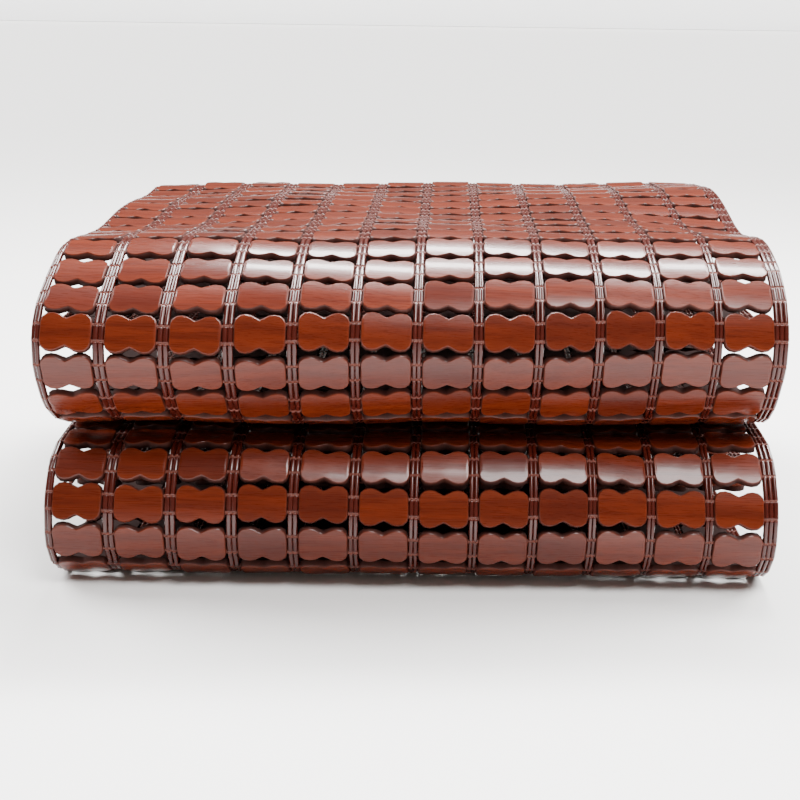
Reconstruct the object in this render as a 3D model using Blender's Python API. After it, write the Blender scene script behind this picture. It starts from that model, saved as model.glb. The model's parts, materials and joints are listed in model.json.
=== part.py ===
"""Bamboo tile mat, folded back and forth into two bundles that lie one on the other.

The mat is twelve columns of lacquered bamboo tiles. Each tile is strung on two elastic cords that
run across the mat. Between the columns, and along both edges, small links are threaded on the
same cords and join each row of tiles to the next. Metres, +Z up, the front folds face -Y.
"""
import math

import bpy

for old in list(bpy.data.objects):
    bpy.data.objects.remove(old, do_unlink=True)

# Real sizes of the mat, in metres.
TILE_WIDTH = 0.035
TILE_LENGTH = 0.027
TILE_THICKNESS = 0.0055
CORD_SPACING = 0.012
ROW_LINK = 0.017
STRIP_THICKNESS = 0.004
SELVEDGE_WIDTH = 0.0105
CLEARANCE = 0.0003

# The gaps between the twelve columns of tiles, from left to right. The cords are slacker at the left.
STRIP_WIDTHS = (
    0.0088, 0.0086, 0.0084, 0.0080, 0.0075, 0.0072, 0.0070, 0.0068, 0.0066, 0.0064, 0.0062,
)

# A tile's rounded rim, and how far the solid is let in between two rows.
RIM_DROP = 0.0009
RIM_RUN = 0.0010
GROOVE_DEPTH = 0.0026

# The fold, from the end tucked into the upper bundle to the end tucked into the lower one. The
# number for each row of tiles is its heading in degrees: 0 to the back, 90 up, 180 to the front,
# 270 down, 360 to the back again, 450 up again and 540 to the front again.
# Columns: stretch of the mat, headings of its rows, whether its outer face shows.
FOLDS = (
    ("upper tucked end", (-8, 2, 3, 2, 2, 1, 0, -1, 0, 1, 1, 2), False),
    ("upper back fold", (23, 90, 157), True),
    ("top", (181, 179, 178, 180, 181, 182, 180, 179, 180, 183), True),
    ("upper front fold", (194, 199, 215, 247, 288, 303, 333), True),
    ("underside of the upper bundle", (361, 362, 362, 362, 361, 362, 362, 362, 361, 362, 362), False),
    ("top of the lower bundle", (180, 180, 179, 180, 181, 180, 180, 180, 180, 181), False),
    ("lower front fold", (183, 184, 212, 248, 279, 322), True),
    ("on the floor", (360,) * 12, False),
    ("lower back fold", (385, 450, 514), True),
    ("lower tucked end", (539, 540, 541, 540, 540, 539, 540, 540, 540, 541, 543), False),
)

# Where the folded mat sags, swells or leans. Each line moves what lies near a point.
# Columns: x, y, z of the point, reach along x, y, z, move along y, move along z.
SWELLS = (
    (-0.250, -0.125, 0.230, 0.110, 0.035, 0.080, 0.000, 0.003),
    (-0.265, -0.030, 0.230, 0.130, 0.075, 0.090, 0.000, -0.010),
    (-0.265, 0.130, 0.230, 0.130, 0.080, 0.090, 0.000, -0.006),
    (0.240, 0.095, 0.230, 0.110, 0.060, 0.120, 0.000, 0.006),
    (0.265, -0.035, 0.230, 0.090, 0.050, 0.090, 0.000, -0.009),
    (0.020, 0.020, 0.230, 0.110, 0.110, 0.090, 0.000, -0.002),
    (-0.120, -0.200, 0.160, 0.090, 0.080, 0.060, -0.003, 0.000),
    (0.180, -0.200, 0.150, 0.070, 0.080, 0.060, 0.004, 0.000),
    (0.060, -0.200, 0.060, 0.120, 0.080, 0.040, -0.003, 0.000),
    (-0.240, -0.200, 0.050, 0.080, 0.080, 0.040, 0.003, 0.000),
)
RIPPLE = 0.0009
FLOOR_HOLD = 0.03

# The mat was folded a little askew: each column lies further back than its left neighbour, and
# more so in the upper bundle than in the lower one.
LOWER_SKEW = 0.04
UPPER_SKEW = 0.075
SEAM_Z = 0.110
SEAM_REACH = 0.025

# How far a corner may be left out where the solid is plain.
PLAIN = 0.0005


def along(heading):
    """The unit step in Y and Z for a heading in degrees."""
    turn = math.radians(heading)
    return math.cos(turn), math.sin(turn)


def folded_rows():
    """Each row of the even fold: the two cords of its tiles in Y and Z, and whether it shows."""
    rows = []
    y = 0.0
    z = 0.0
    last_heading = None
    for stretch, headings, shows in FOLDS:
        for heading in headings:
            if last_heading is not None:
                link_y, link_z = along((last_heading + heading) / 2)
                y += link_y * ROW_LINK
                z += link_z * ROW_LINK
            step_y, step_z = along(heading)
            far = (y + step_y * CORD_SPACING, z + step_z * CORD_SPACING)
            rows.append({"near": (y, z), "far": far, "shows": shows, "stretch": stretch})
            y, z = far
            last_heading = heading
    floor_z = min(row["near"][1] for row in rows if row["stretch"] == "on the floor")
    all_y = [row["near"][0] for row in rows]
    middle_y = (min(all_y) + max(all_y)) / 2
    for row in rows:
        for end in ("near", "far"):
            end_y, end_z = row[end]
            row[end] = (end_y - middle_y, end_z - floor_z + TILE_THICKNESS / 2)
    return rows


def uneven(x, y, z):
    """Where a point of the even fold lies on the real, uneven one."""
    move_y = 0.0
    move_z = 0.0
    for at_x, at_y, at_z, reach_x, reach_y, reach_z, by_y, by_z in SWELLS:
        away = ((x - at_x) / reach_x) ** 2 + ((y - at_y) / reach_y) ** 2 + ((z - at_z) / reach_z) ** 2
        near = math.exp(-away)
        move_y += by_y * near
        move_z += by_z * near
    move_z += RIPPLE * math.sin(31 * x + 23 * y + 40 * z)
    move_y += RIPPLE * math.sin(27 * x - 60 * z + 1.0)
    lift = min(1.0, max(0.0, (z - TILE_THICKNESS / 2) / FLOOR_HOLD))
    hold = lift * lift * (3 - 2 * lift)
    raised = 0.5 + 0.5 * math.tanh((z - SEAM_Z) / SEAM_REACH)
    skew = LOWER_SKEW + (UPPER_SKEW - LOWER_SKEW) * raised
    return y + move_y * hold + skew * x, z + move_z * hold


def rows_at(x):
    """The rows where they lie at one place across the mat: middle, direction, whether it shows."""
    rows = []
    for row in folded_rows():
        near_y, near_z = uneven(x, *row["near"])
        far_y, far_z = uneven(x, *row["far"])
        run_y = far_y - near_y
        run_z = far_z - near_z
        run = math.hypot(run_y, run_z)
        rows.append({
            "middle": ((near_y + far_y) / 2, (near_z + far_z) / 2),
            "step": (run_y / run, run_z / run),
            "near": (near_y, near_z),
            "far": (far_y, far_z),
            "shows": row["shows"],
        })
    return rows


def beside(point, step, forward, outward):
    """A point carried forward along a step and outward from it, to its right-hand side."""
    return (
        point[0] + step[0] * forward + step[1] * outward,
        point[1] + step[1] * forward - step[0] * outward,
    )


def thinned(points, slack):
    """The same line with the points left out that lie within slack of it."""
    if len(points) < 3:
        return list(points)
    first = points[0]
    last = points[-1]
    run_y = last[0] - first[0]
    run_z = last[1] - first[1]
    run = max(math.hypot(run_y, run_z), 1e-9)
    offs = []
    for point in points[1:-1]:
        off = abs((point[0] - first[0]) * run_z - (point[1] - first[1]) * run_y) / run
        offs.append(off)
    furthest = max(offs)
    if furthest <= slack:
        return [first, last]
    split = offs.index(furthest) + 1
    return thinned(points[:split + 1], slack)[:-1] + thinned(points[split:], slack)


def between(row, following):
    """The middle of the link from one row to the next, and its direction."""
    run_y = following["near"][0] - row["far"][0]
    run_z = following["near"][1] - row["far"][1]
    run = math.hypot(run_y, run_z)
    middle = ((row["far"][0] + following["near"][0]) / 2, (row["far"][1] + following["near"][1]) / 2)
    return middle, (run_y / run, run_z / run)


def tile_column_outline(rows):
    """The outline of a column of tiles: its outer face with rims and grooves, its plain back."""
    half_length = TILE_LENGTH / 2
    half_thick = TILE_THICKNESS / 2
    outer = []
    plain = []
    back = []
    for number, row in enumerate(rows):
        middle = row["middle"]
        step = row["step"]
        if row["shows"]:
            if plain:
                outer += thinned(plain, PLAIN)
                plain = []
            outer.append(beside(middle, step, -half_length, half_thick - RIM_DROP))
            outer.append(beside(middle, step, -half_length + RIM_RUN, half_thick))
            outer.append(beside(middle, step, half_length - RIM_RUN, half_thick))
            outer.append(beside(middle, step, half_length, half_thick - RIM_DROP))
        elif number == 0:
            plain.append(beside(middle, step, -half_length, half_thick))
        elif number == len(rows) - 1:
            plain.append(beside(middle, step, half_length, half_thick))
        if number == 0:
            back.append(beside(middle, step, -half_length, -half_thick))
        if number < len(rows) - 1:
            following = rows[number + 1]
            joint, joint_step = between(row, following)
            back.append(beside(joint, joint_step, 0, -half_thick))
            if row["shows"] or following["shows"]:
                if plain:
                    outer += thinned(plain, PLAIN)
                    plain = []
                outer.append(beside(joint, joint_step, 0, half_thick - GROOVE_DEPTH))
            if not row["shows"] and not following["shows"]:
                plain.append(beside(joint, joint_step, 0, half_thick))
        else:
            back.append(beside(middle, step, half_length, -half_thick))
    outer += thinned(plain, PLAIN)
    return outer + thinned(back, PLAIN)[::-1]


def link_strip_outline(rows):
    """The outline of a strip of links, from cord to cord."""
    cords = []
    for row in rows:
        cords.append(row["near"])
        cords.append(row["far"])
    cords = thinned(cords, PLAIN)
    steps = []
    for first, second in zip(cords, cords[1:]):
        run = math.hypot(second[0] - first[0], second[1] - first[1])
        steps.append(((second[0] - first[0]) / run, (second[1] - first[1]) / run))
    right = []
    left = []
    for number, cord in enumerate(cords):
        before = steps[max(number - 1, 0)]
        after = steps[min(number, len(steps) - 1)]
        lean_y = before[0] + after[0]
        lean_z = before[1] + after[1]
        lean = math.hypot(lean_y, lean_z)
        step = (lean_y / lean, lean_z / lean)
        mitre = STRIP_THICKNESS / 2 / (step[0] * after[0] + step[1] * after[1])
        forward = 0.0
        if number == 0:
            forward = -STRIP_THICKNESS / 2
        if number == len(cords) - 1:
            forward = STRIP_THICKNESS / 2
        right.append(beside(cord, step, forward, mitre))
        left.append(beside(cord, step, forward, -mitre))
    return right + left[::-1]


def lacquer(name, colour, roughness):
    """A plain glossy material in one colour."""
    material = bpy.data.materials.new(name)
    material.use_nodes = True
    shader = material.node_tree.nodes["Principled BSDF"]
    shader.inputs["Base Color"].default_value = (*colour, 1.0)
    shader.inputs["Roughness"].default_value = roughness
    shader.inputs["Metallic"].default_value = 0.0
    return material


def ribbon(name, outline, from_x, to_x, material):
    """One piece: an outline in Y and Z, as wide as it runs from from_x to to_x."""
    curve = bpy.data.curves.new(name, "CURVE")
    curve.dimensions = "2D"
    curve.fill_mode = "BOTH"
    curve.extrude = (to_x - from_x) / 2
    line = curve.splines.new("POLY")
    line.points.add(len(outline) - 1)
    for point, (y, z) in zip(line.points, outline):
        point.co = (y, z, 0.0, 1.0)
    line.use_cyclic_u = True
    curve.materials.append(material)
    piece = bpy.data.objects.new(name, curve)
    piece.location = ((from_x + to_x) / 2, 0.0, 0.0)
    piece.rotation_euler = (math.radians(90), 0.0, math.radians(90))
    bpy.context.scene.collection.objects.link(piece)
    return piece


bamboo = lacquer("lacquered_bamboo", (0.255, 0.046, 0.016), 0.24)
plastic = lacquer("link_plastic", (0.120, 0.020, 0.012), 0.30)

# The columns of tiles and the strips of links between them, from left to right.
all_tiles = (len(STRIP_WIDTHS) + 1) * TILE_WIDTH + sum(STRIP_WIDTHS)
left_x = -all_tiles / 2
pieces = []
for number in range(len(STRIP_WIDTHS) + 1):
    right_x = left_x + TILE_WIDTH
    outline = tile_column_outline(rows_at((left_x + right_x) / 2))
    pieces.append(ribbon(f"tile_column_{number + 1:02d}", outline, left_x, right_x, bamboo))
    if number < len(STRIP_WIDTHS):
        left_x = right_x + STRIP_WIDTHS[number]
        outline = link_strip_outline(rows_at((right_x + left_x) / 2))
        name = f"link_strip_{number + 1:02d}"
        pieces.append(ribbon(name, outline, right_x + CLEARANCE, left_x - CLEARANCE, plastic))

# The edge strips of links, outside the first and the last column.
for name, side in (("selvedge_left", -1), ("selvedge_right", 1)):
    inner_x = side * (all_tiles / 2 + CLEARANCE)
    outer_x = side * (all_tiles / 2 + SELVEDGE_WIDTH)
    outline = link_strip_outline(rows_at((inner_x + outer_x) / 2))
    pieces.append(ribbon(name, outline, min(inner_x, outer_x), max(inner_x, outer_x), plastic))

# The folded mat stands with the middle of its depth at Y = 0.
all_y = [point.co.x for piece in pieces for point in piece.data.splines[0].points]
middle_y = (min(all_y) + max(all_y)) / 2
for piece in pieces:
    piece.location.y = -middle_y
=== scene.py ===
"""The looks of a folded bamboo tile mat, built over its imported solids. Metres, the folds face -Y."""
import json
import math

import bpy
from mathutils import Matrix, Vector

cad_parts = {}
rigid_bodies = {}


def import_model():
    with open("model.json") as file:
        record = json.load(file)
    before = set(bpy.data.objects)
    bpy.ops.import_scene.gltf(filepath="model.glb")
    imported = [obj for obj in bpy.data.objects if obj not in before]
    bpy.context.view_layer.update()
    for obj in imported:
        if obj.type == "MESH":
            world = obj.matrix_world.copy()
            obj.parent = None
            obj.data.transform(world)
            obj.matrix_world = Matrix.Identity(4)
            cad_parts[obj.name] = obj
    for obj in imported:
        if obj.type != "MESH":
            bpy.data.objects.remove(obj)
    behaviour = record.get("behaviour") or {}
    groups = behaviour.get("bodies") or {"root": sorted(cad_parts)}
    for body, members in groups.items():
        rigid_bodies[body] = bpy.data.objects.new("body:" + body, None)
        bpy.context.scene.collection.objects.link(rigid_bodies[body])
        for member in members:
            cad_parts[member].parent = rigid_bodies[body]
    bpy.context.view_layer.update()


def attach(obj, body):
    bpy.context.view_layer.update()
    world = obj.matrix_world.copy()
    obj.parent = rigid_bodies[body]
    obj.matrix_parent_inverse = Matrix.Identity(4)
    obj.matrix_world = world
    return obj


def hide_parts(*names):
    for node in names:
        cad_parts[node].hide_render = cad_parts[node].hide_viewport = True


for old in list(bpy.data.objects):
    bpy.data.objects.remove(old, do_unlink=True)

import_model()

# The mat's rows. Eighty-five rows of tiles hang on two elastic cords each, and the rows turn one
# against the next as the mat is folded back and forth by hand. Every piece below is set out from
# the places of these cords.
TILE_WIDTH = 0.035
TILE_LENGTH = 0.027
TILE_THICKNESS = 0.0055
CORD_SPACING = 0.012
ROW_LINK = 0.017
SELVEDGE_WIDTH = 0.0105
STRIP_WIDTHS = (
    0.0088, 0.0086, 0.0084, 0.0080, 0.0075, 0.0072, 0.0070, 0.0068, 0.0066, 0.0064, 0.0062,
)
# Columns: stretch of the mat, heading of each of its rows in degrees (0 to the back, 90 up, 180 to
# the front, 270 down, 360 to the back again, 450 up again, 540 to the front again).
FOLDS = (
    ("upper tucked end", (-8, 2, 3, 2, 2, 1, 0, -1, 0, 1, 1, 2)),
    ("upper back fold", (23, 90, 157)),
    ("top", (181, 179, 178, 180, 181, 182, 180, 179, 180, 183)),
    ("upper front fold", (194, 199, 215, 247, 288, 303, 333)),
    ("underside of the upper bundle", (361, 362, 362, 362, 361, 362, 362, 362, 361, 362, 362)),
    ("top of the lower bundle", (180, 180, 179, 180, 181, 180, 180, 180, 180, 181)),
    ("lower front fold", (183, 184, 218, 246, 277, 322)),
    ("on the floor", (360,) * 12),
    ("lower back fold", (385, 450, 514)),
    ("lower tucked end", (539, 540, 541, 540, 540, 539, 540, 540, 540, 541, 543)),
)
# Columns: x, y, z of the point, reach along x, y, z, move along y, move along z.
SWELLS = (
    (-0.250, -0.165, 0.235, 0.250, 0.040, 0.060, 0.000, -0.006),
    (-0.250, -0.125, 0.230, 0.110, 0.035, 0.080, 0.000, 0.003),
    (-0.265, -0.030, 0.230, 0.130, 0.075, 0.090, 0.000, -0.010),
    (-0.265, 0.130, 0.230, 0.130, 0.080, 0.090, 0.000, -0.006),
    (0.240, 0.095, 0.230, 0.110, 0.060, 0.120, 0.000, 0.006),
    (0.265, -0.035, 0.230, 0.090, 0.050, 0.090, 0.000, -0.009),
    (0.020, 0.020, 0.230, 0.110, 0.110, 0.090, 0.000, -0.002),
    (-0.120, -0.200, 0.160, 0.090, 0.080, 0.060, -0.003, 0.000),
    (0.180, -0.200, 0.150, 0.070, 0.080, 0.060, 0.004, 0.000),
    (0.060, -0.200, 0.060, 0.120, 0.080, 0.040, -0.003, 0.000),
    (-0.240, -0.200, 0.050, 0.080, 0.080, 0.040, 0.003, 0.000),
)
RIPPLE = 0.0009
FLOOR_HOLD = 0.03
LOWER_SKEW = 0.04
UPPER_SKEW = 0.075
SEAM_Z = 0.110
SEAM_REACH = 0.025
MIDDLE_Y = 0.00551


def even_cords():
    """The cords of the even fold in Y and Z, two to a row, from one tucked end to the other."""
    cords = []
    floor_z = 0.0
    y = 0.0
    z = 0.0
    last = None
    for stretch, headings in FOLDS:
        for heading in headings:
            if last is not None:
                link = math.radians((last + heading) / 2)
                y += math.cos(link) * ROW_LINK
                z += math.sin(link) * ROW_LINK
            cords.append((y, z))
            if stretch == "on the floor":
                floor_z = z
            turn = math.radians(heading)
            y += math.cos(turn) * CORD_SPACING
            z += math.sin(turn) * CORD_SPACING
            cords.append((y, z))
            last = heading
    near_y = [cord[0] for cord in cords[0::2]]
    middle_y = (min(near_y) + max(near_y)) / 2
    return [(cord_y - middle_y, cord_z - floor_z + TILE_THICKNESS / 2) for cord_y, cord_z in cords]


def uneven(x, y, z):
    """Where a point of the even fold lies on the real one, which sags, swells and lies askew."""
    move_y = RIPPLE * math.sin(27 * x - 60 * z + 1.0)
    move_z = RIPPLE * math.sin(31 * x + 23 * y + 40 * z)
    for at_x, at_y, at_z, reach_x, reach_y, reach_z, by_y, by_z in SWELLS:
        away = ((x - at_x) / reach_x) ** 2 + ((y - at_y) / reach_y) ** 2 + ((z - at_z) / reach_z) ** 2
        move_y += by_y * math.exp(-away)
        move_z += by_z * math.exp(-away)
    lift = min(1.0, max(0.0, (z - TILE_THICKNESS / 2) / FLOOR_HOLD))
    hold = lift * lift * (3 - 2 * lift)
    raised = 0.5 + 0.5 * math.tanh((z - SEAM_Z) / SEAM_REACH)
    skew = LOWER_SKEW + (UPPER_SKEW - LOWER_SKEW) * raised
    return y + move_y * hold + skew * x, z + move_z * hold


EVEN = even_cords()


def cords_at(x):
    """Where each cord crosses one place across the mat."""
    places = [uneven(x, y, z) for y, z in EVEN]
    return [Vector((x, y - MIDDLE_Y, z)) for y, z in places]


tiles_width = (len(STRIP_WIDTHS) + 1) * TILE_WIDTH + sum(STRIP_WIDTHS)
column_x = []
strip_x = []
edge_x = -tiles_width / 2
for width in STRIP_WIDTHS + (0.0,):
    column_x.append(edge_x + TILE_WIDTH / 2)
    strip_x.append(edge_x + TILE_WIDTH + width / 2)
    edge_x += TILE_WIDTH + width
strip_x.pop()

# The elastic cords. Two thin braided cords cross the mat at each row. They are threaded through
# the tiles and the links, which hide them, and show only in the joints between the links.
CORD_RADIUS = 0.0015
# How far the cords run past the tiles on the left, and end short of the selvedge on the right.
CORD_PAST_TILES = 0.0040
CORD_SHORT_OF_EDGE = 0.0012
CORD_DARK = (0.070, 0.012, 0.006, 1.0)
CORD_LIGHT = (0.130, 0.026, 0.012, 1.0)
# Spots to a metre along X, Y and Z, here and in the other grains below.
BRAID_GRAIN = (900.0, 1800.0, 1800.0)


class Wiring:
    """A node tree under construction."""

    def __init__(self, tree):
        self.tree = tree

    def node(self, kind, settings, inputs):
        """Adds a node, sets it up, and fills its sockets with values or links."""
        node = self.tree.nodes.new(kind)
        for key, value in settings.items():
            setattr(node, key, value)
        self.fill(node, inputs)
        return node

    def fill(self, node, inputs):
        """Gives a node's sockets, each by its number, identifier or name, their values or links."""
        for key, value in inputs.items():
            known = {socket.identifier: socket for socket in node.inputs}
            socket = known[key] if key in known else node.inputs[key]
            if isinstance(value, Shade):
                value = value.socket
            if isinstance(value, bpy.types.NodeSocket):
                self.tree.links.new(value, socket)
            else:
                socket.default_value = value

    def out(self, node, identifier):
        """The output with that identifier, where several outputs share a name."""
        return {socket.identifier: socket for socket in node.outputs}[identifier]


class Shade:
    """A number in a material, so that the maths on it reads as Python."""

    def __init__(self, finish, socket):
        self.finish = finish
        self.socket = socket

    def maths(self, operation, first, second):
        node = self.finish.node("ShaderNodeMath", {"operation": operation}, {0: first, 1: second})
        return Shade(self.finish, node.outputs[0])

    def __add__(self, other):
        return self.maths("ADD", self, other)

    def __radd__(self, other):
        return self.maths("ADD", other, self)

    def __mul__(self, other):
        return self.maths("MULTIPLY", self, other)

    def __rmul__(self, other):
        return self.maths("MULTIPLY", other, self)

    def __sub__(self, other):
        return self.maths("SUBTRACT", self, other)

    def __rsub__(self, other):
        return self.maths("SUBTRACT", other, self)


class Finish(Wiring):
    """A material under construction: its nodes, and its Principled shader."""

    def __init__(self, name):
        self.material = bpy.data.materials.new(name)
        self.material.use_nodes = True
        super().__init__(self.material.node_tree)
        self.shader = self.tree.nodes["Principled BSDF"]

    def place(self):
        """The surface's own place, which the patterns are laid out on."""
        return self.node("ShaderNodeTexCoord", {}, {}).outputs["Object"]

    def attribute(self, name):
        """A number that the mesh carries."""
        return Shade(self, self.node("ShaderNodeAttribute", {"attribute_name": name}, {}).outputs["Fac"])

    def noise(self, place, stretch, detail):
        """A noise with about one spot a metre, times stretch along each axis."""
        placed = self.node("ShaderNodeMapping", {}, {"Vector": place, "Scale": stretch})
        spots = {"Vector": placed.outputs[0], "Scale": 1.0, "Detail": detail}
        return Shade(self, self.node("ShaderNodeTexNoise", {}, spots).outputs[0])

    def step(self, value, low, high):
        """A smooth step from 0 at low to 1 at high."""
        ends = {"Value": value, "From Min": low, "From Max": high}
        node = self.node("ShaderNodeMapRange", {"interpolation_type": "SMOOTHSTEP"}, ends)
        return Shade(self, node.outputs[0])

    def blend(self, amount, first, second):
        """One colour turning into another as amount goes from 0 to 1."""
        colours = {"Factor_Float": amount, "A_Color": first, "B_Color": second}
        return self.out(self.node("ShaderNodeMix", {"data_type": "RGBA"}, colours), "Result_Color")


class Growth(Wiring):
    """A Geometry Nodes tree with named inputs, which makes what repeats along the mat."""

    def __init__(self, name, inputs):
        super().__init__(bpy.data.node_groups.new(name, "GeometryNodeTree"))
        shape = self.tree.interface
        shape.new_socket("Places", in_out="INPUT", socket_type="NodeSocketGeometry")
        for label, kind in inputs:
            shape.new_socket(label, in_out="INPUT", socket_type=kind)
        shape.new_socket("Finish", in_out="INPUT", socket_type="NodeSocketMaterial")
        shape.new_socket("Made", in_out="OUTPUT", socket_type="NodeSocketGeometry")
        self.given = self.tree.nodes.new("NodeGroupInput").outputs

    def carried(self, name):
        """A vector that each place carries."""
        node = self.node("GeometryNodeInputNamedAttribute", {"data_type": "FLOAT_VECTOR"}, {"Name": name})
        return node.outputs["Attribute"]

    def end(self, made):
        """Ends the tree in real geometry with the piece's material."""
        real = self.node("GeometryNodeRealizeInstances", {}, {"Geometry": made})
        worn = {"Geometry": real.outputs[0], "Material": self.given["Finish"]}
        dressed = self.node("GeometryNodeSetMaterial", {}, worn)
        self.tree.links.new(dressed.outputs[0], self.tree.nodes.new("NodeGroupOutput").inputs[0])

    def grow(self, name, places, values):
        """Runs the tree on a mesh of places and returns the piece, a plain mesh object."""
        piece = bpy.data.objects.new(name, places)
        bpy.context.scene.collection.objects.link(piece)
        growth = piece.modifiers.new("growth", "NODES")
        growth.node_group = self.tree
        for item in self.tree.interface.items_tree:
            if item.in_out == "INPUT" and item.name in values:
                growth[item.identifier] = values[item.name]
        piece.update_tag()
        grown = piece.evaluated_get(bpy.context.evaluated_depsgraph_get())
        mesh = bpy.data.meshes.new_from_object(grown)
        piece.modifiers.remove(growth)
        piece.data = mesh
        return piece


crossings = [-tiles_width / 2 - CORD_PAST_TILES]
for number, middle in enumerate(column_x):
    crossings.append(middle)
    if number < len(strip_x):
        crossings.append(strip_x[number])
crossings.append(tiles_width / 2 + SELVEDGE_WIDTH - CORD_SHORT_OF_EDGE)

cord_points = []
cord_edges = []
crossed = [cords_at(x) for x in crossings]
for number in range(len(EVEN)):
    for place in range(len(crossings)):
        if place:
            cord_edges.append((len(cord_points) - 1, len(cord_points)))
        cord_points.append(crossed[place][number])
cord_lines = bpy.data.meshes.new("cord_lines")
cord_lines.from_pydata(cord_points, cord_edges, [])

braid = Finish("elastic_cord")
strands = braid.noise(braid.place(), BRAID_GRAIN, 2.0)
braid.fill(braid.shader, {
    "Base Color": braid.blend(strands, CORD_DARK, CORD_LIGHT),
    "Roughness": 0.55 + 0.2 * strands,
})

tubes = Growth("cord_tubes", (("Radius", "NodeSocketFloat"),))
lines = tubes.node("GeometryNodeMeshToCurve", {}, {"Mesh": tubes.given["Places"]})
ring = tubes.node(
    "GeometryNodeCurvePrimitiveCircle", {}, {"Resolution": 6, "Radius": tubes.given["Radius"]}
)
skin = tubes.node("GeometryNodeCurveToMesh", {}, {
    "Curve": lines.outputs[0],
    "Profile Curve": ring.outputs[0],
    "Fill Caps": True,
})
tubes.end(skin.outputs[0])
cords = tubes.grow("elastic_cords", cord_lines, {"Radius": CORD_RADIUS, "Finish": braid.material})
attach(cords, "root")

# The bamboo tiles. Each is cut from split bamboo with two lobes along both long edges, rounded
# over on its face, stained red-brown, lacquered, and drilled across for its two cords.
# Columns: across and along the tile, in millimetres, for a quarter of its outline, from its short
# side to the notch in its long edge.
QUARTER = (
    (17.5, 7.2), (16.5, 10.4), (13.6, 12.8), (9.6, 13.5), (5.8, 12.7), (2.5, 10.9), (0.0, 9.8),
)
# In millimetres: the face's height over the tile's middle, its fall towards the long edges, and
# the bevel of its rim.
FACE_TOP = 2.9
FACE_SAG = 1.1
RIM_DROP = 0.75
RIM_INSET = 0.75
# Columns: share of the face's reach along the tile, and across it, for each row of the face.
FACE_ROWS = ((0.55, 0.97), (0.0, 0.94), (-0.55, 0.97))
# Columns: share of the back's finish and of the rim's, for the points of the back, of the walls'
# top, of the rim and of the face. The back's finish is dark and matte, and its dark colour is painted shade;
# the rim's lighter colour is partly lacquer worn thin and partly a painted highlight.
BACK_SHADE_AND_RIM_SHARES = ((1.0, 0.0), (0.7, 0.2), (0.0, 1.0), (0.0, 0.0))
# The sharpest corner that inset allows for. The sharper ones are drawn in only as far as this one.
LEAST_MITRE = 0.75
# How far a tile's turn about X, Y and Z may differ by chance from its row's.
LEAN = (math.radians(3.0), math.radians(1.0), math.radians(1.0))
MM = 0.001
FIBRE_GRAIN = (45.0, 1500.0, 1500.0)
BAND_GRAIN = (14.0, 260.0, 260.0)
FLECK_GRAIN = (120.0, 2600.0, 2600.0)
STAIN_DARK = (0.065, 0.0064, 0.0011, 1.0)
STAIN_LIGHT = (0.105, 0.0125, 0.0023, 1.0)
DARKEST_TILE = (0.048, 0.0050, 0.0018, 1.0)
FLECK_COLOUR = (0.030, 0.0035, 0.0015, 1.0)
# The rim's lighter colour: partly lacquer worn thin on the edge, partly a painted highlight along the rim.
RIM_WEAR_AND_HIGHLIGHT_COLOUR = (0.180, 0.035, 0.012, 1.0)
# Painted shade: a near-black colour on the tile's back and lower walls, which darkens them as if they were
# in shadow.
BACK_SHADE_COLOUR = (0.012, 0.003, 0.002, 1.0)


def inset(outline, amount):
    """The outline drawn in by an amount, square to its edges."""
    moved = []
    for number, point in enumerate(outline):
        before = (point - outline[number - 1]).normalized()
        after = (outline[(number + 1) % len(outline)] - point).normalized()
        first = Vector((-before.y, before.x))
        second = Vector((-after.y, after.x))
        normal = (first + second).normalized()
        moved.append(point + normal * (amount / max(normal.dot(first), LEAST_MITRE)))
    return moved


def face_height(y):
    """The face is part of the bamboo's round wall, so it curves down towards both long edges."""
    return FACE_TOP - FACE_SAG * (y * MM / TILE_LENGTH * 2) ** 2


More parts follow.
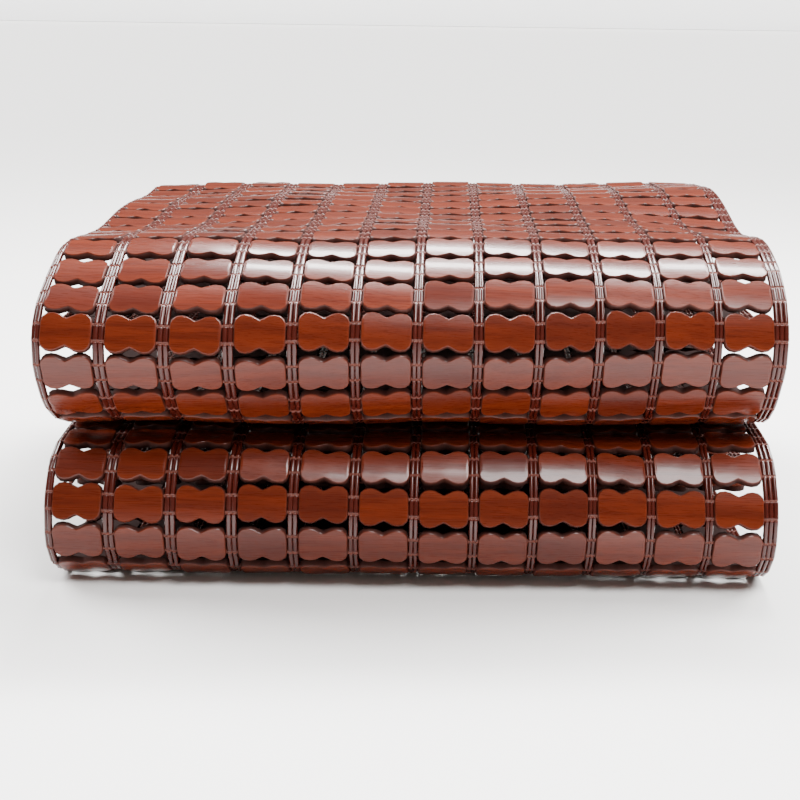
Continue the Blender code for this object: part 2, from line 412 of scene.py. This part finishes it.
def tile_mesh():
    """One tile: back, walls, bevelled rim and curved face. It is 27 mm along Y."""
    right = [Vector(point) for point in QUARTER]
    upper = right + [Vector((-point.x, point.y)) for point in reversed(right[:-1])]
    outline = upper + [Vector((point.x, -point.y)) for point in reversed(upper)]
    rim = inset(outline, RIM_INSET)
    count = len(outline)
    points = [(point.x, point.y, -TILE_THICKNESS / MM / 2) for point in outline]
    points += [(point.x, point.y, face_height(point.y) - RIM_DROP) for point in outline]
    points += [(point.x, point.y, face_height(point.y)) for point in rim]
    faces = [tuple(reversed(range(count)))]
    for low in (0, count):
        for side in range(count):
            following = (side + 1) % count
            faces.append((low + side, low + following, low + count + following, low + count + side))
    face = 2 * count
    inner = 3 * count
    last = len(upper) - 1
    ladder = [[face + side for side in range(len(upper))]]
    for along, across in FACE_ROWS:
        ladder.append([len(points) + side for side in range(len(upper))])
        for point in rim[:len(upper)]:
            points.append((point.x * across, point.y * along, face_height(point.y * along)))
    ladder.append([inner - 1 - side for side in range(len(upper))])
    for high, low in zip(ladder, ladder[1:]):
        for side in range(last):
            faces.append((high[side], high[side + 1], low[side + 1], low[side]))
    faces.append((ladder[4][0], ladder[0][0], ladder[1][0], ladder[2][0], ladder[3][0]))
    faces.append((ladder[0][last], ladder[4][last], ladder[3][last], ladder[2][last], ladder[1][last]))
    mesh = bpy.data.meshes.new("tile")
    mesh.from_pydata([Vector(point) * MM for point in points], [], faces)
    mesh.shade_smooth()
    # The back mask darkens the back and walls with painted shade. The rim mask lightens the rim, partly as
    # wear and partly as a painted highlight.
    back_shades = mesh.attributes.new("back", "FLOAT", "POINT")
    rim_wear_and_highlight = mesh.attributes.new("rim", "FLOAT", "POINT")
    for number in range(len(points)):
        back_shade_share, rim_wear_and_highlight_share = BACK_SHADE_AND_RIM_SHARES[min(number // count, 3)]
        back_shades.data[number].value = back_shade_share
        rim_wear_and_highlight.data[number].value = rim_wear_and_highlight_share
    sharp = mesh.attributes.new("sharp_edge", "BOOLEAN", "EDGE")
    for edge in mesh.edges:
        low, high = sorted(edge.vertices)
        round_back = high < count
        round_rim = face <= low and high < inner and high - low in (1, count - 1)
        sharp.data[edge.index].value = round_back or round_rim
    return mesh


def places_mesh(name, rows):
    """Places with the turn and the stretch that each carries."""
    mesh = bpy.data.meshes.new(name)
    mesh.from_pydata([place for place, turn, stretch in rows], [], [])
    turns = mesh.attributes.new("turn", "FLOAT_VECTOR", "POINT")
    stretches = mesh.attributes.new("stretch", "FLOAT_VECTOR", "POINT")
    for number, (place, turn, stretch) in enumerate(rows):
        turns.data[number].vector = turn
        stretches.data[number].vector = stretch
    return mesh


def facing(across, back):
    """The turn that lays a shape's X across the mat and its Y back along it, its face outwards."""
    back = back.normalized()
    out = across.cross(back).normalized()
    return Matrix((back.cross(out), back, out)).transposed()


bamboo = Finish("lacquered_bamboo")
tint = bamboo.attribute("tint")
rim = bamboo.attribute("rim")
back = bamboo.attribute("back")
apart = bamboo.node("ShaderNodeCombineXYZ", {}, {"X": tint * 7.0, "Y": tint * 3.0, "Z": tint * 5.0})
moved = bamboo.node(
    "ShaderNodeVectorMath", {"operation": "ADD"}, {0: bamboo.place(), 1: apart.outputs[0]}
)
fibres = bamboo.noise(moved.outputs[0], FIBRE_GRAIN, 3.0)
bands = bamboo.noise(moved.outputs[0], BAND_GRAIN, 2.0)
flecks = bamboo.step(bamboo.noise(moved.outputs[0], FLECK_GRAIN, 1.0), 0.60, 0.74)
stain = bamboo.blend(bamboo.step(bands * 0.7 + fibres * 0.3, 0.33, 0.67), STAIN_DARK, STAIN_LIGHT)
tinted = bamboo.blend(bamboo.step(tint, 0.45, 1.0) * 0.6, stain, DARKEST_TILE)
flecked = bamboo.blend(flecks * 0.22, tinted, FLECK_COLOUR)
pores = bamboo.node(
    "ShaderNodeBump", {}, {"Strength": 0.10, "Distance": 0.0002, "Height": fibres - flecks * 0.6}
)
# The rim is lightened, partly as wear and partly as a painted highlight.
rim_worn_and_highlit = bamboo.blend(rim * 0.15, flecked, RIM_WEAR_AND_HIGHLIGHT_COLOUR)
bamboo.fill(bamboo.shader, {
    # The back and the walls are darkened towards near-black: painted shade.
    "Base Color": bamboo.blend(back * 0.9, rim_worn_and_highlit, BACK_SHADE_COLOUR),
    "Roughness": 0.24 + fibres * 0.08 + back * 0.6,
    "Specular IOR Level": 0.22,
    "Coat Weight": 0.2 - back * 0.2,
    "Coat Roughness": 0.10,
    "Normal": pores.outputs[0],
})

tile = bpy.data.objects.new("tile", tile_mesh())
bpy.context.scene.collection.objects.link(tile)

rows = Growth("tile_rows", (
    ("Tile", "NodeSocketObject"),
    ("Lean", "NodeSocketVector"),
    ("Seed", "NodeSocketInt"),
))
chance = rows.node("FunctionNodeRandomValue", {"data_type": "FLOAT"}, {"Seed": rows.given["Seed"]})
tinted_rows = rows.node("GeometryNodeStoreNamedAttribute", {"data_type": "FLOAT", "domain": "POINT"}, {
    "Geometry": rows.given["Places"],
    "Name": "tint",
    "Value": rows.out(chance, "Value_001"),
})
other_way = rows.node("ShaderNodeVectorMath", {"operation": "SCALE"}, {0: rows.given["Lean"], "Scale": -1.0})
lean = rows.node("FunctionNodeRandomValue", {"data_type": "FLOAT_VECTOR"}, {
    "Min": other_way.outputs[0],
    "Max": rows.given["Lean"],
    "Seed": rows.given["Seed"],
})
turned = rows.node(
    "ShaderNodeVectorMath", {"operation": "ADD"}, {0: rows.carried("turn"), 1: rows.out(lean, "Value")}
)
one_tile = rows.node("GeometryNodeObjectInfo", {}, {"Object": rows.given["Tile"], "As Instance": True})
set_out = rows.node("GeometryNodeInstanceOnPoints", {}, {
    "Points": tinted_rows.outputs[0],
    "Instance": one_tile.outputs["Geometry"],
    "Rotation": turned.outputs[0],
    "Scale": rows.carried("stretch"),
})
rows.end(set_out.outputs[0])

columns = []
for number, middle in enumerate(column_x):
    here = cords_at(middle)
    left = cords_at(middle - TILE_WIDTH / 2)
    right = cords_at(middle + TILE_WIDTH / 2)
    places = []
    for near in range(0, len(EVEN), 2):
        across = right[near] - left[near]
        turn = facing(across, here[near] - here[near + 1]).to_euler()
        places.append(((here[near] + here[near + 1]) / 2, turn, (1.0, 1.0, 1.0)))
    name = f"bamboo_tiles_{number + 1:02d}"
    column = rows.grow(name, places_mesh(name, places), {
        "Tile": tile,
        "Lean": LEAN,
        "Seed": number + 1,
        "Finish": bamboo.material,
    })
    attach(column, "root")
    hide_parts(f"tile_column_{number + 1:02d}")
    columns.append(column)
bpy.data.objects.remove(tile, do_unlink=True)

# The links. Between two columns of tiles two ribs of short moulded plastic links run along the
# mat, and three along each selvedge. Every link spans from one cord to the next, threaded on both.
# In millimetres: a link's size, and how far its rounded corners reach in from its sides and down
# from its face. The gap between two links is in metres.
LINK_WIDTH = 2.8
LINK_HEIGHT = 4.0
LINK_LENGTH = 10.0
CORNER_IN = 0.8
CORNER_DOWN = 0.9
LINK_GAP = 0.0003
# Columns: place along the link, and how much of its full section it has.
LINK_STATIONS = ((-0.5, 0.95), (-0.42, 1.0), (0.42, 1.0), (0.5, 0.95))
RIB_SHARE = 0.42
RIB_PLACE = 0.225
SELVEDGE_RIB_SHARE = 0.29
# Columns: how far out from the tiles and how far behind their middle each rib of a selvedge runs.
# The right selvedge lies flat and the left one has curled back.
SELVEDGE_RIBS = {
    "left": ((0.0018, 0.0000), (0.0044, 0.0018), (0.0052, 0.0048)),
    "right": ((0.0019, 0.0000), (0.00525, 0.0000), (0.0086, 0.0000)),
}
# The links between the two cords of a row are wider and flatter than those from row to row.
FLAT_WIDER = 1.08
FLAT_HEIGHT = 0.84
# How far to the side the cords are looked up to find which way is across the mat.
LOOK_ACROSS = 0.004
WEAR_GRAIN = (160.0, 160.0, 160.0)
LINK_DARK = (0.034, 0.0036, 0.0020, 1.0)
LINK_LIGHT = (0.062, 0.0075, 0.0038, 1.0)
# Painted highlight: a lighter colour at the link ends, which stands in for light catching each joint.
LINK_JOINT_HIGHLIGHT_COLOUR = (0.150, 0.0280, 0.0120, 1.0)


def link_mesh():
    """One link: a bar with rounded corners and ends, its length along Y."""
    half_x = LINK_WIDTH / 2
    half_z = LINK_HEIGHT / 2
    section = []
    for corner_x, corner_z in ((1, -1), (1, 1), (-1, 1), (-1, -1)):
        along_side = (half_x * corner_x, (half_z - CORNER_DOWN) * corner_z)
        along_face = ((half_x - CORNER_IN) * corner_x, half_z * corner_z)
        section += [along_face, along_side] if corner_x * corner_z < 0 else [along_side, along_face]
    points = []
    for along, share in LINK_STATIONS:
        for x, z in section:
            points.append(Vector((x * share, along * LINK_LENGTH, z * share)) * MM)
    count = len(section)
    faces = [tuple(range(count)), tuple(reversed(range(3 * count, 4 * count)))]
    for station in range(len(LINK_STATIONS) - 1):
        low = station * count
        for side in range(count):
            following = (side + 1) % count
            faces.append((low + side, low + count + side, low + count + following, low + following))
    mesh = bpy.data.meshes.new("link")
    mesh.from_pydata(points, [], faces)
    mesh.shade_smooth()
    # A mask at the link's ends, which carries the painted highlight at each joint.
    ends = mesh.attributes.new("end", "FLOAT", "POINT")
    for number in range(len(points)):
        ends.data[number].value = 1.0 if number // count in (0, 3) else 0.0
    return mesh


plastic = Finish("moulded_links")
wear = plastic.noise(plastic.place(), WEAR_GRAIN, 2.0)
# Painted highlight: the link ends are lightened towards a pale red, as if light caught each joint.
painted_joint_highlight = plastic.step(plastic.attribute("end"), 0.3, 0.9)
body = plastic.blend(wear, LINK_DARK, LINK_LIGHT)
plastic.fill(plastic.shader, {
    "Base Color": plastic.blend(painted_joint_highlight * 0.7, body, LINK_JOINT_HIGHLIGHT_COLOUR),
    "Roughness": 0.18 + wear * 0.10 + painted_joint_highlight * 0.20,
    "Specular IOR Level": 0.45,
})

link = bpy.data.objects.new("link", link_mesh())
bpy.context.scene.collection.objects.link(link)

ribs = Growth("link_ribs", (("Link", "NodeSocketObject"),))
one_link = ribs.node("GeometryNodeObjectInfo", {}, {"Object": ribs.given["Link"], "As Instance": True})
strung = ribs.node("GeometryNodeInstanceOnPoints", {}, {
    "Points": ribs.given["Places"],
    "Instance": one_link.outputs["Geometry"],
    "Rotation": ribs.carried("turn"),
    "Scale": ribs.carried("stretch"),
})
ribs.end(strung.outputs[0])


def ribs_of_links(name, rib_places, rib_width):
    """Ribs of links that run along the mat, each at a place across it and a depth behind it."""
    places = []
    for x, depth in rib_places:
        here = cords_at(x)
        right = cords_at(x + LOOK_ACROSS)
        for near in range(len(here) - 1):
            flat = near % 2 == 0
            wide = rib_width / (LINK_WIDTH * MM) * (FLAT_WIDER if flat else 1.0)
            along = here[near] - here[near + 1]
            long = (along.length - LINK_GAP) / (LINK_LENGTH * MM)
            turn = facing(right[near] - here[near], along)
            middle = (here[near] + here[near + 1]) / 2 - turn.col[2] * depth
            places.append((middle, turn.to_euler(), (wide, long, FLAT_HEIGHT if flat else 1.0)))
    piece = ribs.grow(name, places_mesh(name, places), {"Link": link, "Finish": plastic.material})
    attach(piece, "root")
    return piece


for number, width in enumerate(STRIP_WIDTHS):
    rib_places = [(strip_x[number] + side * RIB_PLACE * width, 0.0) for side in (-1, 1)]
    strip = ribs_of_links(f"link_ribs_{number + 1:02d}", rib_places, RIB_SHARE * width)
    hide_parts(f"link_strip_{number + 1:02d}")

for side, edge in (("left", -1), ("right", 1)):
    rib_places = [(edge * (tiles_width / 2 + out), depth) for out, depth in SELVEDGE_RIBS[side]]
    selvedge = ribs_of_links(f"selvedge_ribs_{side}", rib_places, SELVEDGE_RIB_SHARE * SELVEDGE_WIDTH)
    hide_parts(f"selvedge_{side}")
bpy.data.objects.remove(link, do_unlink=True)

for number, column in enumerate(columns):
    number == 0

# The studio. A pale floor runs back to a low white panel. One soft light over the back and one
# over the front right are what the round folds mirror, and even light comes in from both sides.
FLOOR_REACH = 24.0
PANEL_HEIGHT = 1.2
PANEL_GLOW = 2.3
FLOOR_COLOUR = (0.86, 0.85, 0.84, 1.0)
SKY_COLOUR = (1.0, 0.90, 0.80, 1.0)
SKY_STRENGTH = 0.25
SIDE_LIGHT_FROM = (0.80, 0.50, 0.85)
SIDE_LIGHT_POWER = 7.5
SIDE_LIGHT_SPREAD = math.radians(35)


def stage_sheet(name, corners, finish):
    """A flat four-cornered piece of the studio."""
    mesh = bpy.data.meshes.new(name)
    mesh.from_pydata(corners, [], [(0, 1, 2, 3)])
    mesh.materials.append(finish.material)
    piece = bpy.data.objects.new(name, mesh)
    bpy.context.scene.collection.objects.link(piece)


paper = Finish("pale_floor")
paper.fill(paper.shader, {"Base Color": FLOOR_COLOUR, "Roughness": 0.75})
stage_sheet("pale_floor", (
    (-FLOOR_REACH, -FLOOR_REACH, 0.0),
    (FLOOR_REACH, -FLOOR_REACH, 0.0),
    (FLOOR_REACH, FLOOR_REACH, 0.0),
    (-FLOOR_REACH, FLOOR_REACH, 0.0),
), paper)
glow = Finish("far_panel")
glow.fill(glow.shader, {
    "Base Color": (0.8, 0.8, 0.8, 1.0),
    "Emission Color": (1.0, 1.0, 1.0, 1.0),
    "Emission Strength": PANEL_GLOW,
})
stage_sheet("far_panel", (
    (-FLOOR_REACH, FLOOR_REACH, 0.0),
    (FLOOR_REACH, FLOOR_REACH, 0.0),
    (FLOOR_REACH, FLOOR_REACH, PANEL_HEIGHT),
    (-FLOOR_REACH, FLOOR_REACH, PANEL_HEIGHT),
), glow)

sky = bpy.data.worlds.new("studio_sky")
sky.use_nodes = True
sky.node_tree.nodes["Background"].inputs["Color"].default_value = SKY_COLOUR
sky.node_tree.nodes["Background"].inputs["Strength"].default_value = SKY_STRENGTH
bpy.context.scene.world = sky


def soft_light(name, place, aim, size, power):
    """A rectangular studio light that points at a place."""
    lamp = bpy.data.lights.new(name, "AREA")
    lamp.shape = "RECTANGLE"
    lamp.size = size[0]
    lamp.size_y = size[1]
    lamp.energy = power
    holder = bpy.data.objects.new(name, lamp)
    holder.location = place
    holder.rotation_euler = (Vector(aim) - Vector(place)).to_track_quat("-Z", "Y").to_euler()
    bpy.context.scene.collection.objects.link(holder)


soft_light("back_softbox", (0.20, 0.76, 1.46), (0.0, -0.15, 0.20), (1.15, 0.20), 80.0)
soft_light("front_softbox", (0.42, -0.72, 1.70), (0.0, -0.20, 0.15), (0.7, 0.65), 44.0)

for side, turned_to in (("left", -1), ("right", 1)):
    daylight = bpy.data.lights.new(f"{side}_daylight", "SUN")
    daylight.energy = SIDE_LIGHT_POWER
    daylight.angle = SIDE_LIGHT_SPREAD
    holder = bpy.data.objects.new(f"{side}_daylight", daylight)
    from_x, from_y, from_z = SIDE_LIGHT_FROM
    holder.rotation_euler = Vector((from_x * turned_to, from_y, from_z)).to_track_quat("Z", "Y").to_euler()
    bpy.context.scene.collection.objects.link(holder)

# The camera stands in front of the folds, a little above the mat.
CAMERA_PLACE = (0.0222, -1.0113, 0.4014)
YAW = math.radians(-2.06)
PITCH_DOWN = math.radians(17.89)
ROLL = math.radians(0.74)
LENS = 55.23
SENSOR_WIDTH = 36.0

lens = bpy.data.cameras.new("camera")
lens.lens = LENS
lens.sensor_width = SENSOR_WIDTH
camera = bpy.data.objects.new("camera", lens)
bpy.context.scene.collection.objects.link(camera)
camera.matrix_world = (
    Matrix.Translation(CAMERA_PLACE)
    @ Matrix.Rotation(-YAW, 4, "Z")
    @ Matrix.Rotation(math.pi / 2 - PITCH_DOWN, 4, "X")
    @ Matrix.Rotation(ROLL, 4, "Z")
)
bpy.context.scene.camera = camera
